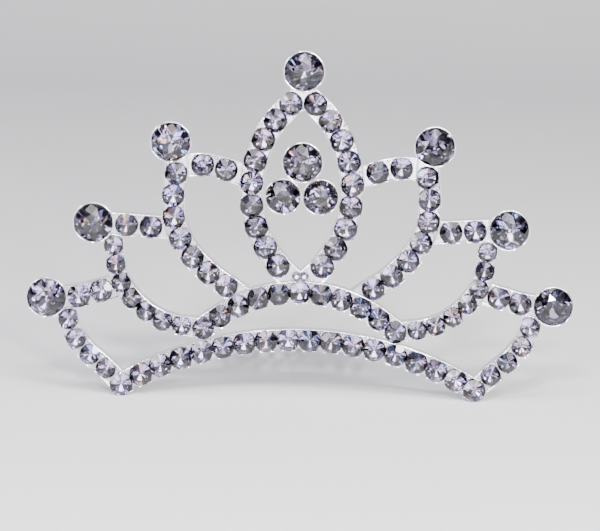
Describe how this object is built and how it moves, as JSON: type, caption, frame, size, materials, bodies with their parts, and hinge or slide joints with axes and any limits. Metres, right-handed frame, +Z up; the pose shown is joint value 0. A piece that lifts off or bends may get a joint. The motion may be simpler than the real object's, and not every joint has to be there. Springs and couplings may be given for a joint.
{
  "type": "rhinestone crown hair comb",
  "caption": "Small openwork crown on a hair comb: brazed metal channels hold rows of round glass stones, and larger stones sit in bezel cups at the points and inside a pointed oval.",
  "frame": {"origin": "on the ground plane, under the middle of the crown's bounding box", "axes": "+X to the viewer's right along the crown's width, +Y towards the back, the way the comb's teeth point, +Z up; the stones face -Y"},
  "size_m": [0.08, 0.0341, 0.0516],
  "materials": {
    "silver_plate": "bright silver plating over cast and stamped alloy",
    "comb_plate": "silver-plated wire, a little duller than the front",
    "solder": "grey solder",
    "small_stone_glass": "clear faceted glass with a foil back, set in a thin bed of adhesive",
    "large_stone_glass": "clear faceted glass with a foil back"
  },
  "bodies": {
    "root": {"lower_band": "silver_plate", "lower_band_stones": "small_stone_glass", "arch_band": "silver_plate", "arch_band_stones": "small_stone_glass", "oval_left": "silver_plate", "oval_left_stones": "small_stone_glass", "oval_right": "silver_plate", "oval_right_stones": "small_stone_glass", "inner_leaf_left": "silver_plate", "inner_leaf_left_stones": "small_stone_glass", "inner_leaf_right": "silver_plate", "inner_leaf_right_stones": "small_stone_glass", "inner_bar_left": "silver_plate", "inner_bar_left_stones": "small_stone_glass", "inner_bar_right": "silver_plate", "inner_bar_right_stones": "small_stone_glass", "middle_leaf_left": "silver_plate", "middle_leaf_left_stones": "small_stone_glass", "middle_leaf_right": "silver_plate", "middle_leaf_right_stones": "small_stone_glass", "middle_bar_left": "silver_plate", "middle_bar_left_stones": "small_stone_glass", "middle_bar_right": "silver_plate", "middle_bar_right_stones": "small_stone_glass", "outer_leaf_left": "silver_plate", "outer_leaf_left_stones": "small_stone_glass", "outer_leaf_right": "silver_plate", "outer_leaf_right_stones": "small_stone_glass", "outer_bar_left": "silver_plate", "outer_bar_left_stones": "small_stone_glass", "outer_bar_right": "silver_plate", "outer_bar_right_stones": "small_stone_glass", "top_cup": "silver_plate", "top_stone": "large_stone_glass", "trefoil_top_cup": "silver_plate", "trefoil_top_stone": "large_stone_glass", "inner_left_cup": "silver_plate", "inner_left_stone": "large_stone_glass", "inner_right_cup": "silver_plate", "inner_right_stone": "large_stone_glass", "middle_left_cup": "silver_plate", "middle_left_stone": "large_stone_glass", "middle_right_cup": "silver_plate", "middle_right_stone": "large_stone_glass", "outer_left_cup": "silver_plate", "outer_left_stone": "large_stone_glass", "outer_right_cup": "silver_plate", "outer_right_stone": "large_stone_glass", "trefoil_left_cup": "silver_plate", "trefoil_left_stone": "large_stone_glass", "trefoil_right_cup": "silver_plate", "trefoil_right_stone": "large_stone_glass", "foot_pin_left": "silver_plate", "foot_pin_right": "silver_plate", "comb_solder_left": "solder", "comb_solder_right": "solder", "comb": "comb_plate"}
  },
  "joints": []
}
